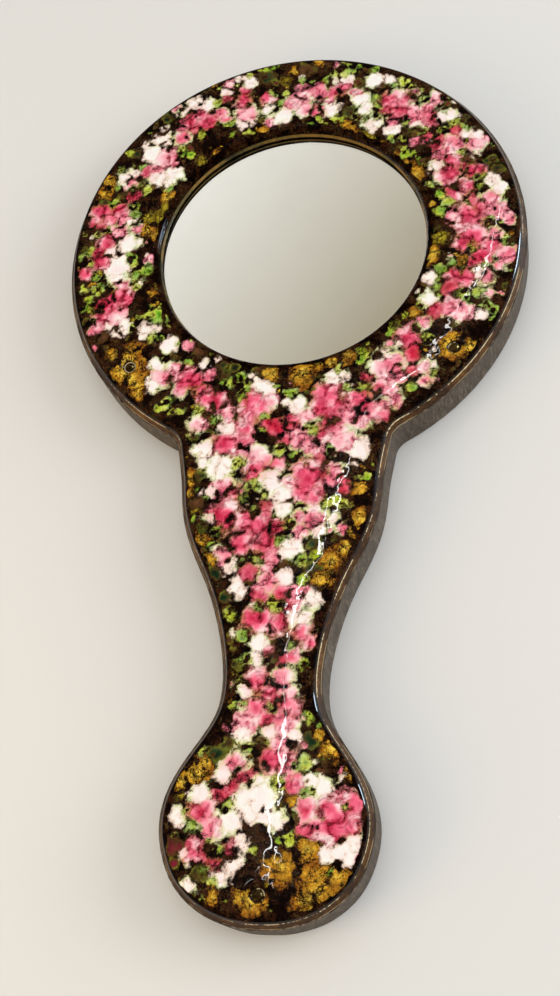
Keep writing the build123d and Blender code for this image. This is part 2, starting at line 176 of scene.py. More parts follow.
# ------------------------------------------------------------------ pattern
# A generic scatter of enamel blooms, listed one by one: x, y, radius in mm.
# w white, q blush, p pink, r crimson, y leaf tip, g leaf, d deep green,
# a amber, o olive, b brown, m maroon, k bare ground.
BLOOMS = {
    "w": """-18.7 59.8 1.3|-15.1 57.3 2.6|-22.3 54.6 2.0|-28 51.2 2.8|-32.3 50.9 2.8|-34.6 49.2 2|-30 53 1.8|-15.9 43 2.5|-13.2 42.2 1.4
    -8.7 47.3 2|-3.7 44.4 2.8|-40.9 39.8 3|-40.5 43 1.5|-45.9 37.3 2.1|-43.4 34.4 3.4|-40 37.4 1.8|-51.6 26.6 2.8|-49 28.2 2|-41.2 25.9 3.4
    -35.9 26.6 3|-38 23.9 2|-48.7 10.7 1.6|-49.4 3.7 4|-45 3.7 1.7|-53 1 2.4|11.4 55.5 1.2|22.9 53.4 3|27.5 53.7 2.1|15.2 54.6 2.3
    10.7 45.1 3|19.3 47.3 3.2|20.7 43.7 2.4|22.9 38 3.2|28.6 35.4 2.7|35.7 36.6 1.8|42.9 38 2.2|45.4 38.7 2.2|50 31.6 2.2|53.2 31 2
    42.1 21.6 2.4|53.7 25.2 1.2|57.1 15.1 3|58.6 12 2.6|-50.9 -4.3 4.4|-50.9 -8 3|-51.6 -23.8 1.5|-46.6 -25 2.4|-48.9 -27 1.8|-39.8 -26.4 3
    -33 -31.4 2.8|-22.6 -37.9 1.8|-19.4 -36.6 1|-36.6 -36.8 2.6|-37.3 -43.6 2.6|-5.1 -46.4 3.4|-15.7 -59.1 2.8|13.6 -45 3|16.6 -44.1 1.8|26.6 -39.7 2
    27.1 -36.8 1.4|31 -35.2 1.3|39.3 -22.1 2.6|39.3 -15.5 2.5|52.9 -15 2.2|52.9 -27.9 2|41.4 -42.3 1.3|3.4 -52.6 3.2|20.7 -65.6 3.4|-22 -64.3 2.6
    -21 -68 1.8|-16 -69.3 4.4|-1.3 -74.3 4.2|1.4 -78 3|-16.9 -76.6 2.3|1.3 -81.4 2.8|-17.5 -84.5 3|10.7 -88.4 2.4|14.9 -86 2|4 -93.7 3.4
    -11.3 -97 2.6|-9.3 -103.7 3|2.7 -101 2.4|9.3 -107.7 2.8|5.3 -111.7 2.8|8.3 -112.4 2|-2.9 -119 3.1|-3.6 -121.6 2.6|-5.8 -129.5 2.2|-5.6 -141.4 3
    0.9 -140.9 2.4|6.6 -142 2.2|-10 -150.9 2.6|11.6 -152.9 2.2|14.4 -154.2 2.8|-1.3 -157.1 5.4|1.6 -161.6 3.8|-15.8 -156.2 3.4|-20.9 -161.6 2.4|-8.4 -162.9 3.4
    -19.3 -170.2 2|-7 -172.9 3.6|-5.4 -168.4 2.8|-9.4 -175.4 2.2|-17.2 -178 2.1|19.4 -169.3 4|22.2 -166.6 2.6|15.1 -170.3 2.5|-22 25 1|49 -1 1""",
    "q": """-21.6 57.4 1.7|-15.5 46.2 3.4|-7.6 43 1.6|-0.9 48.2 2.5|-22.3 47.3 1.8|-21.2 45 1.6|-38 50.9 1.6|-34.4 39.4 2.8|-39.4 33 3|-41.6 28.4 2
    -49 24.4 2|-50.9 12.3 2.8|-45.9 8 1.5|-51.6 7.3 3|11.4 60.9 1.2|2.1 52.6 2|6.4 51 2.6|2.1 45.9 2.4|10.4 47.6 1.6|17.9 49.8 2.3|30.4 47.9 2
    28.9 37.8 2|35 47.8 1.4|41 45.9 1.8|34.3 41.6 1.8|39.3 42 2.8|35.7 38.9 2.1|46.4 28 3.2|53.2 28 2.6|36.4 30.9 1.8|42.9 25.1 2.6|42.9 17.3 2
    56.4 8 3.4|46.4 4 2|59.3 4.2 2|61.6 1.8 1.8|-41.6 -2.9 1.3|-49 -10.6 2.3|-48.7 -20.9 2.6|-55.1 -24.2 1.2|-27.3 -32.1 1.5|-30.9 -38.7 2.2
    -35.1 -42 3.2|-29.4 -45.7 2.2|-21.6 -41.2 2|-15.1 -53.6 2.6|-3.7 -50 2|-23.7 -56.6 2.5|28.2 -42.1 4.2|28.8 -35.5 1.3|38.2 -29.3 2|46.4 -26.4 3.4
    57.1 -2.9 2.2|60 -9.3 2.4|55 -16.4 2|58.6 -13 1.8|55.7 -21.6 1.7|37.9 -42.9 2|31.4 -46.4 1.6|28.6 -49.5 2.6|30 -52.3 2.2|38.6 -47.1 1.6
    7.9 -55.7 2.6|25 -55.2 2.1|19.3 -56.6 2.8|17.1 -63.4 3|7.1 -63 2.6|-6 -66.3 3|-10 -62.6 2|5.1 -63 2.8|8.4 -65 2.2|16 -60.9 2.4|21.3 -57.4 2.8
    2.4 -74.4 2|15.3 -71.7 2.2|13.3 -75.7 1.5|-14.6 -75.6 3.4|5.3 -84.6 2|9.3 -85.5 3.2|6 -88.3 2|17.3 -88.5 1.7|-13.3 -94.3 2.6|-0.9 -95 2.2
    -2.7 -98.3 2.2|-2 -101.9 2.8|6.7 -106 2.8|5.6 -121.4 2.1|3 -127.9 3.2|5.2 -131 2.2|4.4 -138.6 3.2|-5.2 -138.9 3|3.7 -143.6 3|-7.7 -148.6 3
    5.9 -151 2|-12.7 -163.8 3|10.9 -159.3 3|13 -163 1.8|24 -171 1.4|-24 47.6 1.4|-57 -26 0.9|56 30 1.2|-10 -66 2""",
    "p": """-16.2 54.6 1.8|-16.2 50.9 2.6|-9 50.9 1.8|-1.8 47.1 1.6|-29 47.3 2.6|-25.9 45.9 2.6|-32.3 45.9 2.4|-28 44.4 2|-37.6 32.3 2.2|-45.1 27.3 2
    -43.4 28.9 1.6|-57.3 15.1 3|-51.9 15.3 2.6|-54.4 12.3 2.4|-55.1 4.4 3|-56.6 1 2.2|13.9 52.4 2.3|8.6 50 2|11.4 51.1 2.1|1 47.6 1.5|6 44.6 2.1
    28.6 45.1 3.2|31.4 46 2.8|30.7 42.3 2.4|39.3 39.2 2.4|40.7 37.1 2|38.6 32.3 1.8|41.4 28 2|45.7 23 2.4|45 18.2 3|52.1 19.4 2.2|50 13.9 2.4
    46.4 11.6 2.2|53.6 6.8 2.4|49.3 3.5 3.8|-55.9 -2.3 3|-60.3 -6 1.9|-47.6 -15 3.6|-51.6 -17.7 3|-53.7 -21.4 2.8|-33.3 -41 2.2|-28 -42.1 3.4
    -25 -42.9 2.8|-21.6 -48.6 2.8|-18 -49.3 2.4|-7.3 -51.2 3.6|-9.4 -54.6 2.8|33.6 -33.6 2.8|46.2 -24.1 2.2|49.3 -16.4 3|45 -15 1.6|51.4 -2.1 4
    48.6 -4.4 2.4|56.4 -5.7 3|53.6 -9.3 2.8|51.2 -11.6 2|30.7 -43.4 1.6|26.4 -47.9 1.8|2.9 -55.6 2.2|12.9 -50 4|10.7 -53.1 3|15.7 -53.2 2.6|20 -52.1 3.2
    22.9 -53.6 2.6|26.4 -56.6 1.8|14.3 -60.4 2.4|-15.3 -62.9 3.6|-10 -58.3 2.6|0.7 -62 2|11.3 -61.3 2.6|-6.7 -70 2.6|0 -69.2 1.8|8.7 -73 4.4
    6 -77.3 2.6|-7.3 -72.6 2|-12.4 -76.8 2.2|9.3 -79 2.4|-14.7 -83.7 4.2|-8.7 -85.7 3|-4.3 -86.2 3|0 -86.5 2|-9.3 -91.7 3.2|-3.3 -91.9 3.4
    -6.7 -99.7 2|-3.3 -105.7 2|2.7 -105.3 2.2|-3.3 -112.3 4|1.5 -113.2 3.2|8 -115.2 2.3|9.3 -117.9 1.9|-1.1 -120.3 1.6|-3.2 -127.7 3|0.1 -131.9 3
    -3.4 -135.2 2.4|5.1 -134.3 3|0.1 -137.9 2.6|1.6 -147.9 3|4.6 -147.1 3|-5.4 -152.6 1.8|8 -153.8 2.2|-14.9 -160 3|-17 -170 2.8|-7.7 -169.5 2.2
    -11.6 -172 2|10.1 -159.1 1.5|10.9 -164.5 2.3|16.6 -160 4|20.9 -158 3|17.3 -164.3 3.6|21.6 -163 2.4|-36 30 1|-60 12 1.2""",
    "r": """-22 52.5 1.4|-30.9 43 2.4|-34.1 39.2 1.3|-49.4 19.6 2|-47.3 20.2 1.7|-56.6 10.7 1.8|28.2 42.8 2.2|47.1 33 2|42.5 29.6 2.4|52.1 9 1.9|49 21 1.4
    -54.4 -16.4 2|22.9 -45 1.7|41.1 -25.7 3|45.4 -18.4 2.6|35 -38.6 2.4|35 -43.4 2|2 -57.6 2.2|-0.7 -59 3.2|-3.6 -57.8 2|10.5 -69 1.8|17.3 -74.3 2
    17.3 -77.4 1.9|-12.5 -85.2 1.9|-3.3 -81.9 2|4.7 -108.4 2|3 -123.2 2|1.2 -133 1.4|0.4 -149 1.6|-4.1 -151.2 1.7|-7.7 -154.2 2.7|-11.3 -156.4 2|-14 -169.4 1.2|12.6 -58 1.5""",
    "y": """-3.4 52 1.7|-20.7 42.8 1.9|-23.7 43.4 1.2|-34.4 35.4 1.7|-53 29.5 1.5|-46.6 30.2 1.5|-37.2 22 1.8|-48.7 22.4 1.4|-44.4 21.6 1.5|-53.7 23 1.4
    -47.3 13.6 1.8|-48 16.7 1|-58 7.3 1.5|-55 8 1.3|-62 7.6 1.2|-59.8 1.6 1.7|1.4 56.6 0.9|5 55.8 0.9|8.6 56.2 1.1|14.6 61.2 1.1|15 58.1 1.8|18.9 60 1.3
    23.2 58.4 1.7|28.6 51.4 1.5|31.8 52.6 2|34.3 50.9 1.4|6.4 41.6 1.9|8.9 48.6 0.9|12.1 41.2 1.5|17.9 41.4 1.7|23.9 47.5 1.7|24.3 44.6 1.3|28.9 32.3 1.4
    21.4 39.6 1|38.2 45.1 2|37.1 34.4 2.5|32.5 37.3 1.3|46.6 36.6 1.8|49.3 34.4 1.5|50.8 33.5 1.1|43.6 33.9 1.5|35.4 26.9 1.3|53.6 16.8 1.9|52.8 13.1 1.5
    40 14.6 1.3|44.3 9.2 1.9|50 8.9 0.9|61.4 9.2 1.1|56.4 2.2 1.3|-59 -2.5 1.5|-57.3 -7.3 1.7|-43.4 -7.6 1|-43.7 -11.4 1.3|-60.1 -11.4 1.6|-56.6 -11.6 2.1
    -58.7 -15 1.9|-54.6 -9.6 1.2|-36.6 -17.6 1.2|-40.1 -20.2 1.3|-34.8 -23.9 1.2|-56.6 -22.1 1.1|-30.9 -31.8 1.3|-21.2 -34.6 0.9|-33.7 -50 2.4|-28.7 -52.1 1.5
    -23.7 -51.9 1.9|-14.6 -44.5 1.8|-11.6 -43.6 2.1|-11.6 -48.4 1.4|21.4 -37 2|22.6 -35.3 1.2|15.4 -42.4 1.8|42.1 -17.9 1.5|60 -5.5 1.7|51.4 -6.6 1.8|55 -12.7 1.1
    53 -20.5 1.8|51.4 -23.6 1.9|55.1 -24.2 1.9|56.4 -26.6 1.8|2.1 -48.4 1.9|17.1 -47.7 1.6|8 -58.8 1.6|0 -65.3 2|4 -66.5 1.7|14 -66.4 1.8|-11.3 -68.3 2.1
    -6 -74.7 1.5|-4 -77.7 1.3|-9.3 -79.2 1.5|6 -80.5 1.5|16 -80.3 2.9|-16.7 -88 1.9|-6.3 -83 2.1|-1 -83.8 1|3.3 -86.7 1.9|23.2 -73.8 1.7|1.3 -91 1.5
    7.3 -96.5 2|-8.7 -96.3 1.2|0.7 -107.7 2.8|-3.7 -108.3 1.9|-10.7 -111 2.1|5.3 -119 1.3|-6.2 -122.2 1.8|1.2 -135.4 2.3|-5.8 -134 1|-4.1 -145 1.9|10 -148.6 2.2
    -7.4 -150.6 1.2|4.1 -152.9 2.5|10.9 -155.9 1.8|-17 -163.9 2.3|-10.8 -169.8 2.6|-12.7 -173.4 1.5|-11.3 -177 1.6|7.3 -166.4 2.4|19.8 -158.8 1.9|15.1 -162.1 1.1|12.6 -138.8 1.2""",
    "g": """-9.4 62 1.8|-8 62.8 1.4|-24.4 51.4 1.8|-5 48.6 1.8|-28.4 40.1 1.7|-13.7 39.4 1.5|-19.4 38.9 1.3|-30.9 32.3 1.9|-33.7 33.5 1.3|-53.7 18.2 1.9
    11 58 1.5|16.8 57.5 1.3|13.6 40.7 1.5|23.9 41 1.7|48.6 25.9 1.4|32.9 26.9 2.1|42.1 12.3 2.1|42.9 6 1.8|37.1 48.9 1.1|-46.6 -2.1 2.1|-41.6 -6 2.1
    -45.1 -8 1.7|-59 -17.9 1.7|-36.9 -21.4 2.9|-44.8 -25.6 1.5|-38.4 -28.8 1.9|-27.3 -36.4 1.7|-16.2 -43.7 1.2|-5.1 -55 1.2|-18.7 -55 1.5|20.7 -39.4 1.5
    29.3 -31.8 1.5|35.7 -31.2 1.5|38.9 -34.3 1.7|42.5 -13 1.9|45.7 -11.2 1.7|47.9 -13.6 1.3|49.3 -20.8 1.8|56.4 -29.4 1.7|35 -48.6 2.1|20.7 -48 1.5
    8.6 -60 1.2|12.6 -81 1.2|17 -82 1.4|10.7 -95 1.8|8 -101.7 1.7|-5 -95.9 2|-7.7 -116.3 1.7|8.7 -123.6 1.3|-7.4 -127.5 1.3|-8.4 -134.8 1.2|10.1 -137.9 1.7
    -8.4 -158.6 1.7|-18.8 -160 1.2|-2 -169.3 1.5|4.4 -167.3 1.5|15.9 -174.3 1.3|-5.6 -76.4 0.9|-14 -175 1.1|25.6 -70.4 0.8""",
    "d": """-9.8 58.9 2.6|-28 56.8 1.8|-39.4 47.5 1.9|-43.4 45.4 1.4|-48.7 35.1 2|-57.3 18.9 1.6|15.4 43.9 1.7|33 34.6 1.6|56.8 21.8 1.9|58.6 18.7 1.9|49.8 38 1.4
    -16.8 -41.6 1.5|-18 -38.8 1.7|-13.7 -40.2 1.7|30.7 -29.4 1.5|45.7 -30.7 1.6|47.4 -21.6 1.6|-22 -71.7 1.9|-19.5 -86.3 1.9|-16 -99 2.2|10.4 -91.6 2.2
    9.6 -98.6 2|-12.6 -106 1.8|10.9 -143 2.3|-12 -146 2.2|-9.4 -143.6 1.8|-14.9 -175.2 2.2|12.4 -105 1.2|-24 -60.6 1.6|-9 -124.4 1.4|60.2 -20 1.4""",
    "a": """-25.4 58.6 1.4|-10.1 38.4 2.6|-24.2 32.1 1.9|-57.3 22.3 2.2|-56.4 25.9 2|-37.3 18.5 2.2|-43 8 2.4|-39.4 6.4 2.3|-38.2 2 1.6|6.4 63 1.9
    13.8 38.2 2.3|17 37 1.6|25 31 1.9|28.6 26.6 2.3|35 19.4 3|32.8 22.6 1.6|40 9 1.4|-40.1 -14.3 1.9|-38.6 -16.6 1.6|-45.1 -35.9 5|-48.7 -34.3 3.4
    -42.3 -42.1 3.8|-46.2 -40 3|-41.6 -46 2|-3.7 -42.1 2.4|5 -42.9 3.4|9.3 -40.1 2|12.9 -39.1 1.7|17.1 -38 2|35 -27.1 1.7|48.7 -10.6 1.7|40 -7.9 2.5
    45.9 -36.8 3.7|50.7 -37.1 2.6|54.4 -35 1.6|-24.7 -72.3 2.2|-24 -76.4 1.5|22 -77.7 2|22.3 -85.7 2.5|19.3 -89 1.8|17.3 -93.7 2|14 -97 2.8|12.3 -101.7 2.3
    -20 -90.3 1.9|-17 -95.2 1.4|13 -141 1.8|16.6 -144.8 2.9|20.9 -150.7 1.9|-14.3 -148.4 1.9|-21.3 -153.6 2.3|-17 -151.4 3.6|6.6 -157.6 1.7|-11.2 -179.6 2
    10.9 -169.5 2.9|5.1 -172.9 3.9|13.7 -177.3 4.8|18.4 -175.5 3|10.7 -180.7 3|-1.3 -180.9 3.3|-4.6 -180 2.6|-1.2 60.5 1.9|38.6 -37.8 1""",
    "o": """-3.4 57 1.9|-26.9 30.9 2.5|-42.3 11.8 2.1|-38.9 12 2.4|-37.6 15 1.4|20.9 33.9 2.3|23.1 32.7 1.8|42.1 -2.9 2.3|-55.9 -6 1.2|-19.6 -148 2|-22 -82 1.5|-21 -157 1.4""",
    "b": """-33 57 1.2|2.4 60.4 2.4|9 62 1.6|35.6 33.6 1.4|38 23 1.6|-52.6 -27.5 1.6|-25.1 -33.8 1.8|-39.6 -24.6 1|38.6 -17.3 1.5|2.7 -97.9 1.5|-6.7 -102.1 1.1
    8 -161.8 1.2|-22.4 -79.4 2|-19.6 -92.6 1.8|-13.4 -109 1.4|-11.2 -117 1.3|9.6 -39.9 1|-7 -41 1.4|24 -36.8 1|-31.6 -34.8 1""",
    "m": """-31.9 35.2 1.4|18.2 53.7 1.5|33.6 47 1.6|44.6 43 1.3|50 22.5 1.9|50.9 19.6 1.3|-21.3 -168.6 2.4|-21.2 -172.7 1.7|11.4 -69.6 1.1|14.6 -57.6 1|-52 20.4 1|21 58.6 1""",
    "k": """-23.7 38.7 3.6|-28.2 35.4 1.6|-41.6 18.9 2.2|-44.4 0.8 0.9|-46.6 25.9 0.8|54.6 12.3 1|-43.7 -16.4 3|-43 -32.9 1|-39.4 -34 1.7|42.9 -31.6 2.2|52.9 -32.1 2.8
    -0.6 -166.6 2.9|-3.4 -175.7 2.6|2.3 -169.6 1.6|18 -172.3 1.5|-2.7 -146.4 1.3|0.8 -108 0.7|1.4 -135.2 0.6|4.4 -153 0.8|6.1 -80.8 0.8|38 27 1.6|-7.6 -179 0.9""",
}
PALETTE = {  # centre, middle and rim, sRGB
    "w": ((250, 232, 230), (249, 244, 238), (250, 248, 238)),
    "q": ((236, 80, 112), (251, 184, 194), (253, 246, 238)),
    "p": ((200, 20, 62), (247, 104, 136), (254, 228, 228)),
    "r": ((160, 6, 34), (214, 24, 60), (244, 120, 142)),
    "y": ((98, 140, 16), (192, 214, 58), (240, 238, 176)),
    "g": ((34, 92, 16), (120, 184, 34), (212, 222, 104)),
    "d": ((12, 26, 14), (24, 50, 26), (56, 78, 40)),
    "a": ((250, 214, 84), (230, 176, 52), (170, 110, 34)),
    "o": ((210, 196, 60), (176, 160, 44), (112, 94, 30)),
    "b": ((104, 66, 44), (78, 48, 32), (40, 24, 18)),
    "m": ((126, 34, 48), (100, 28, 40), (48, 16, 20)),
    "k": ((6, 5, 5), (8, 6, 6), (12, 8, 7)),
}
FLOWER = "wqpr"
LEAF = "yg"


def to_linear(c):
    c = np.asarray(c, float) / 255.0
    return np.where(c <= 0.04045, c / 12.92, ((c + 0.055) / 1.055) ** 2.4)


def read_blooms():
    rows, kinds = [], []
    for kind, text in BLOOMS.items():
        for item in text.replace("\n", "|").split("|"):
            if item.strip():
                rows.append([float(v) for v in item.split()])
                kinds.append(kind)
    rng = np.random.default_rng(11)
    rows = np.array(rows)
    rows[:, :2] += rng.normal(0, 0.12, (len(rows), 2))
    rows[:, 2] *= [{"y": 0.76, "g": 0.76, "d": 0.9, "r": 0.86, "w": 0.88, "q": 1.08, "p": 1.10}.get(k, 1.0) for k in kinds]
    # small blots that drift in the ground between the blooms
    got = []
    tries = 0
    while len(got) < 420 and tries < 9000:
        tries += 1
        x, y = rng.uniform(-64, 64), rng.uniform(-185, 64)
        q = np.min(np.hypot(rows[:, 0] - x, rows[:, 1] - y) / rows[:, 2])
        if 1.15 < q < 2.3 and all(math.hypot(x - a, y - b) > 1.5 for a, b, _ in got):
            got.append((x, y, rng.uniform(0.4, 0.95)))
    small = rng.choice(list("ywgqdbmao"), len(got), p=[0.12, 0.12, 0.18, 0.05, 0.16, 0.20, 0.05, 0.07, 0.05])
    return np.vstack([rows, np.array(got)]), kinds + list(small)


def paint(x, y, d_out):
    """Bloom colour, fringe colour, amber share and depth inside the bloom (mm)."""
    rows, kinds = read_blooms()
    names = list(PALETTE)
    kid = np.array([names.index(k) for k in kinds])
    pal = np.array([[to_linear(c) for c in PALETTE[n]] for n in names])
    rng = np.random.default_rng(5)
    ang = rng.uniform(0, 2 * math.pi, len(rows))
    wx = x + 2.0 * (fbm(x, y, 3.2, 3, 2) - 0.5) + 1.3 * (fbm(x, y, 1.35, 9, 2) - 0.5)
    wy = y + 2.0 * (fbm(x, y, 3.2, 31, 2) - 0.5) + 1.3 * (fbm(x, y, 1.35, 19, 2) - 0.5)
    n = len(x)
    q1, q2 = np.full(n, 9.0), np.full(n, 9.0)
    i1, i2 = np.zeros(n, int), np.zeros(n, int)
    for i, (cx, cy, r) in enumerate(rows):
        sel = np.where((np.abs(wx - cx) < 2.6 * r + 1) & (np.abs(wy - cy) < 2.6 * r + 1))[0]
        if not len(sel):
            continue
        q = np.hypot(wx[sel] - cx, wy[sel] - cy) / r
        a = q < q1[sel]
        s = sel[a]
        q2[s], i2[s] = q1[s], i1[s]
        q1[s], i1[s] = q[a], i
        b = (~a) & (q < q2[sel])
        s = sel[b]
        q2[s], i2[s] = q[b], i
    r1, r2 = rows[i1, 2], rows[i2, 2]
    gap = np.where(q2 > 8, 5.0, (q2 - q1) * r1 * r2 / (r1 + r2))
    k1, k2 = kid[i1], kid[i2]
    is_flower = np.isin(k1, [names.index(k) for k in FLOWER])
    is_leaf = np.isin(k1, [names.index(k) for k in LEAF])
    flower2 = np.isin(k2, [names.index(k) for k in FLOWER]) & (q2 < 1.5)
    leaf2 = np.isin(k2, [names.index(k) for k in LEAF]) & (q2 < 1.5)
    # tone inside a bloom leans to one side; neighbouring blooms run into each other
    wob = 1.1 * (fbm(x, y, 2.6, 177, 3) - 0.5)
    mix_c, mix_w = np.zeros((n, 3)), np.full(n, 1e-9)
    near = (q1 - 1.0) * r1
    for i, (cx, cy, r) in enumerate(rows):
        if names[kid[i]] not in FLOWER + LEAF:
            continue
        sel = np.where((np.abs(wx - cx) < 1.9 * r + 1) & (np.abs(wy - cy) < 1.9 * r + 1))[0]
        if not len(sel):
            continue
        dx, dy = wx[sel] - cx, wy[sel] - cy
        q = np.hypot(dx, dy) / r
        w = np.exp(-np.clip((q - 1.0) * r - near[sel], 0, 30) / (0.85 if names[kid[i]] in FLOWER else 0.30))
        lean = (dx * math.cos(ang[i]) + dy * math.sin(ang[i])) / r
        t = (0.44 * q + 0.62 * (lean * 0.5 + 0.5) + 0.9 * wob[sel] - 0.02) if names[kid[i]] in FLOWER else (0.90 * q + 0.9 * wob[sel])
        t = np.clip(t, 0, 1)[:, None]
        p0, p1, p2 = pal[kid[i]]
        ci = np.where(t < 0.5, p0 * (1 - 2 * t) + p1 * 2 * t, p1 * (2 - 2 * t) + p2 * (2 * t - 1))
        mix_c[sel] += w[:, None] * ci
        mix_w[sel] += w
    t = np.clip(0.90 * q1 + 0.9 * wob, 0, 1)[:, None]
    own = np.where(t < 0.5, pal[k1, 0] * (1 - 2 * t) + pal[k1, 1] * 2 * t, pal[k1, 1] * (2 - 2 * t) + pal[k1, 2] * (2 * t - 1))
    c = np.where((is_flower | is_leaf)[:, None], mix_c / mix_w[:, None], own)
    # folded petal lines inside the rosier blooms
    rosy = np.isin(k1, [names.index(k) for k in "qpr"]) & (r1 > 2.1)
    fold = np.hypot(wx - rows[i1, 0] - 0.38 * r1 * np.cos(ang[i1] + 2.2), wy - rows[i1, 1] - 0.38 * r1 * np.sin(ang[i1] + 2.2)) / r1
    arcs = np.zeros(n)
    for at in (0.38, 0.74, 1.08):
        arcs = np.maximum(arcs, np.exp(-(((fold - at) * r1 / 0.24) ** 2)))
    arcs = np.where(rosy, arcs * sstep(0.44, 0.60, fbm(x, y, 2.8, 133)), 0.0)[:, None]
    c = c * (1 - 0.72 * arcs) + to_linear((156, 16, 58)) * 0.72 * arcs
    # depth inside the bloom, with ragged feathering
    jag = 1.5 * (fbm(x, y, 1.5, 55, 2) - 0.5)
    is_amber = np.isin(k1, [names.index("a"), names.index("o")])
    amber2 = np.isin(k2, [names.index("a"), names.index("o")]) & (q2 < 1.5)
    jag = np.where(is_amber, 3.4 * (fbm(x, y, 2.4, 255, 3) - 0.5), jag)
    e = (1.29 - q1) * r1 + jag * sstep(0.3, 1.0, q1)
    thread = fbm(x, y, 3.2, 41, 2) + 0.25 * (vnoise(x / 0.9, y / 0.9, 43) - 0.5)
    e_join = np.where(is_flower & flower2, gap + 0.78 - 5.0 * np.clip(thread - 0.51, 0, 0.26), gap + 0.34 - 2.4 * np.clip(thread - 0.45, 0, 0.25))
    e_join = np.where(is_amber & amber2, gap + 0.52 - 5.0 * np.clip(thread - 0.44, 0, 0.3), e_join)
    e = np.minimum(e, e_join)
    marks = 6.0 * (fbm(x, y, 1.7, 611, 2) - 0.40) + 0.9 * sstep(0.3, 1.1, q1)
    e = np.where(is_leaf, np.minimum(e, marks + 0.2), e)
    hue = sstep(0.35, 0.65, fbm(x, y, 2.6, 501, 2))[:, None]
    # hair cracks that wander through several blooms
    c1 = np.abs(fbm(x, y, 7.0, 120, 3) - 0.5) * 13.0 + 1.4 * (1 - sstep(0.42, 0.52, fbm(x, y, 4.0, 7)))
    c2 = np.abs(fbm(x, y, 5.0, 320, 3) - 0.5) * 10.0 + 1.4 * (1 - sstep(0.44, 0.54, fbm(x, y, 4.5, 27)))
    e = np.minimum(e, np.minimum(c1, c2) + np.where(k1 == names.index("w"), 0.62, 0.06))
    e = np.where(np.isin(k1, [names.index(k) for k in "k"]), np.minimum(e, -0.6), e)
    # fringe: yellow-green where leaf and ground are near, wine red in the rosy blooms
    green = sstep(0.38, 0.54, fbm(x, y, 5.0, 91, 2))
    green = np.where(is_leaf, 1.0, np.where(leaf2, np.maximum(green, 1 - sstep(0.4, 1.6, gap)), green))
    green = np.where(k1 == names.index("r"), 0.1 * green, np.where(k1 == names.index("p"), 0.3 * green, green))
    green = np.where(is_flower | is_leaf, green, 0.4 * green)
    lone = sstep(0.55, 1.0, q1)                     # only the outer rims turn green
    green = np.where(is_leaf, green, green * np.maximum(lone, np.where(leaf2, 1 - sstep(0.3, 1.2, gap), 0.0)))[:, None]
    plain_rim = np.where((k1 == names.index("w"))[:, None], to_linear((240, 206, 186)), to_linear((182, 16, 52)))
    plain_rim = np.where((k1 == names.index("q"))[:, None], to_linear((230, 98, 122)), plain_rim)
    plain_rim = np.where((is_flower | is_leaf)[:, None], plain_rim, to_linear((88, 60, 28)))
    moss = to_linear((196, 200, 58)) * (1 - hue) + to_linear((120, 160, 34)) * hue
    pale = 0.55 * np.isin(k1, [names.index("w"), names.index("q")])[:, None]
    moss = moss * (1 - pale) + to_linear((236, 232, 170)) * pale
    fringe = plain_rim * (1 - green) + moss * green
    amber = np.where(np.isin(k1, [names.index("a"), names.index("o")]), 1.0, 0.0) * sstep(-0.5, 0.1, e)
    # the rolled edges are dark
    r = np.hypot(x, y)
    edge = np.maximum(1 - sstep(0.0, 0.9, d_out + 1.2 * (fbm(x, y, 2.2, 401, 2) - 0.5)), 1 - sstep(39.5, 40.9, r + 1.2 * (fbm(x, y, 2.2, 411, 2) - 0.5)))
    for px, py in PINS:
        edge = np.maximum(edge, 0.7 * (1 - sstep(1.75, 2.15, np.hypot(x - px, y - py))))
    e = e * (1 - edge) - 0.9 * edge
    amber = amber * (1 - edge)
    return c, fringe, amber, e


